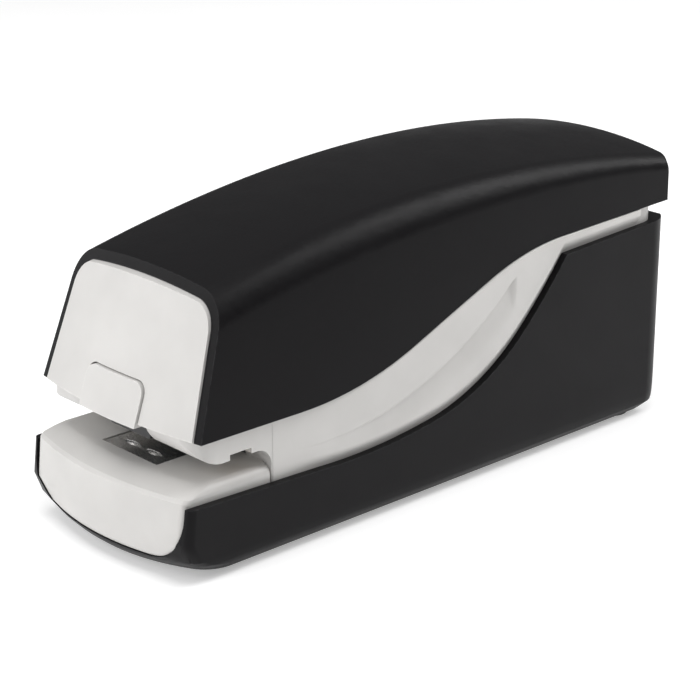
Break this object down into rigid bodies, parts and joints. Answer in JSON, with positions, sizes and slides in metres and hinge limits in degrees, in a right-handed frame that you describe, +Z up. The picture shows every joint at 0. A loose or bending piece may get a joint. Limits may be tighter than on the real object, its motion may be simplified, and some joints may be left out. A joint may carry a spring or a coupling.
{
  "type": "electric stapler",
  "caption": "Battery electric desktop stapler: fixed head over a base, motor driven staple driver, slide-out staple drawer with release tab, paper trigger and battery door.",
  "frame": {"origin": "middle of the base's outline on the surface it stands on", "axes": "+Z up, -Y towards the front where the paper goes in, +X to the stapler's left-hand side seen from the front"},
  "size_m": [0.062, 0.1729, 0.0803],
  "materials": {
    "black_shell": "satin moulded black",
    "pale_shell": "semi-gloss pale grey",
    "polished_steel": "polished",
    "zinc_steel": "zinc plated",
    "grey_rubber": "matt rubber",
    "brass": "turned brass",
    "gear_plastic": "natural acetal",
    "inner_plastic": "black moulded",
    "motor_can": "plated can",
    "board_green": "solder mask",
    "board_black": "component bodies",
    "cell_wrap": "plain sleeve"
  },
  "bodies": {
    "base": {"aa_cell_1": "cell_wrap", "aa_cell_2": "cell_wrap", "aa_cell_3": "cell_wrap", "aa_cell_4": "cell_wrap", "aa_cell_5": "cell_wrap", "aa_cell_6": "cell_wrap", "anvil_plate": "polished_steel", "base_platform": "pale_shell", "base_screws": "zinc_steel", "base_shell": "black_shell", "battery_case": "inner_plastic", "board_parts": "board_black", "board_posts": "inner_plastic", "contact_springs": "zinc_steel", "control_board": "board_green", "dc_jack": "inner_plastic", "drive_motor": "motor_can", "face_panel": "pale_shell", "first_gear_shaft": "zinc_steel", "frame_spacers": "zinc_steel", "front_contact_plate": "zinc_steel", "gear_plate": "zinc_steel", "gear_plate_posts": "zinc_steel", "left_drawer_guide": "inner_plastic", "left_driver_guide": "inner_plastic", "left_frame_plate": "zinc_steel", "left_housing": "pale_shell", "lever_pin": "zinc_steel", "paper_switch": "inner_plastic", "rear_contact_plate": "zinc_steel", "right_drawer_guide": "inner_plastic", "right_driver_guide": "inner_plastic", "right_frame_plate": "zinc_steel", "right_housing": "pale_shell", "rubber_feet": "grey_rubber", "second_gear_shaft": "zinc_steel", "sensor_plate": "brass", "top_cover": "black_shell", "trigger_pin": "zinc_steel"},
    "drawer": {"drawer_front": "inner_plastic", "magazine_channel": "zinc_steel", "staple_rail": "zinc_steel", "staple_strip": "polished_steel", "pusher_rod": "zinc_steel", "pusher_spring": "zinc_steel"},
    "tab": {"release_tab": "pale_shell"},
    "pusher": {"staple_pusher": "inner_plastic"},
    "cam": {"cam_disc": "zinc_steel", "cam_shaft": "zinc_steel", "cam_gear": "gear_plastic"},
    "gear_two": {"second_gear": "gear_plastic"},
    "gear_one": {"first_gear": "gear_plastic"},
    "rotor": {"motor_pinion": "brass", "motor_shaft": "zinc_steel"},
    "lever": {"drive_lever": "zinc_steel"},
    "driver": {"driver_block": "inner_plastic", "driver_pin": "zinc_steel", "driver_blade": "polished_steel"},
    "trigger": {"paper_trigger": "inner_plastic"},
    "door": {"battery_door": "inner_plastic"}
  },
  "joints": [
    {"name": "drawer_slide", "type": "slide", "parent": "base", "child": "drawer", "axis": [0, -1, 0], "range_m": [0, 0.062]},
    {"name": "tab_press", "type": "slide", "parent": "drawer", "child": "tab", "axis": [0, 1, 0], "range_m": [0, 0.001], "stiffness_N_per_m": 400},
    {"name": "pusher_slide", "type": "slide", "parent": "drawer", "child": "pusher", "axis": [0, 1, 0], "range_m": [0, 0.026], "stiffness_N_per_m": 40},
    {"name": "cam_turn", "type": "hinge", "parent": "base", "child": "cam", "pos_m": [0, 0.002, 0.0463], "axis": [1, 0, 0], "range_deg": [0, 180]},
    {"name": "gear_two_turn", "type": "hinge", "parent": "base", "child": "gear_two", "pos_m": [0, 0.0176, 0.0553], "axis": [1, 0, 0], "range_deg": [-720.5, 0.5]},
    {"name": "gear_one_turn", "type": "hinge", "parent": "base", "child": "gear_one", "pos_m": [0, 0.0356, 0.0553], "axis": [1, 0, 0], "range_deg": [-0.5, 2880.5]},
    {"name": "rotor_turn", "type": "hinge", "parent": "base", "child": "rotor", "pos_m": [0, 0.0536, 0.0553], "axis": [1, 0, 0], "range_deg": [-11521, 1]},
    {"name": "lever_rock", "type": "hinge", "parent": "base", "child": "lever", "pos_m": [0, -0.03, 0.0463], "axis": [1, 0, 0], "range_deg": [-0.05, 15.71]},
    {"name": "driver_slide", "type": "slide", "parent": "base", "child": "driver", "axis": [0, 0, -1], "range_m": [-0.00005, 0.01045]},
    {"name": "trigger_swing", "type": "hinge", "parent": "base", "child": "trigger", "pos_m": [0.018, -0.0596, 0.038], "axis": [1, 0, 0], "range_deg": [0, 10], "stiffness_Nm_per_rad": 0.002},
    {"name": "door_swing", "type": "hinge", "parent": "base", "child": "door", "pos_m": [0, 0.0254, 0.0024], "axis": [-1, 0, 0], "range_deg": [0, 95]}
  ],
  "couplings": [
    {"joint": "gear_two_turn", "follows": "cam_turn", "ratio": -4},
    {"joint": "gear_one_turn", "follows": "cam_turn", "ratio": 16},
    {"joint": "rotor_turn", "follows": "cam_turn", "ratio": -64},
    {"joint": "lever_rock", "follows": "cam_turn", "ratio": 0.08701},
    {"joint": "driver_slide", "follows": "cam_turn", "m_per_rad": 0.0033096}
  ]
}
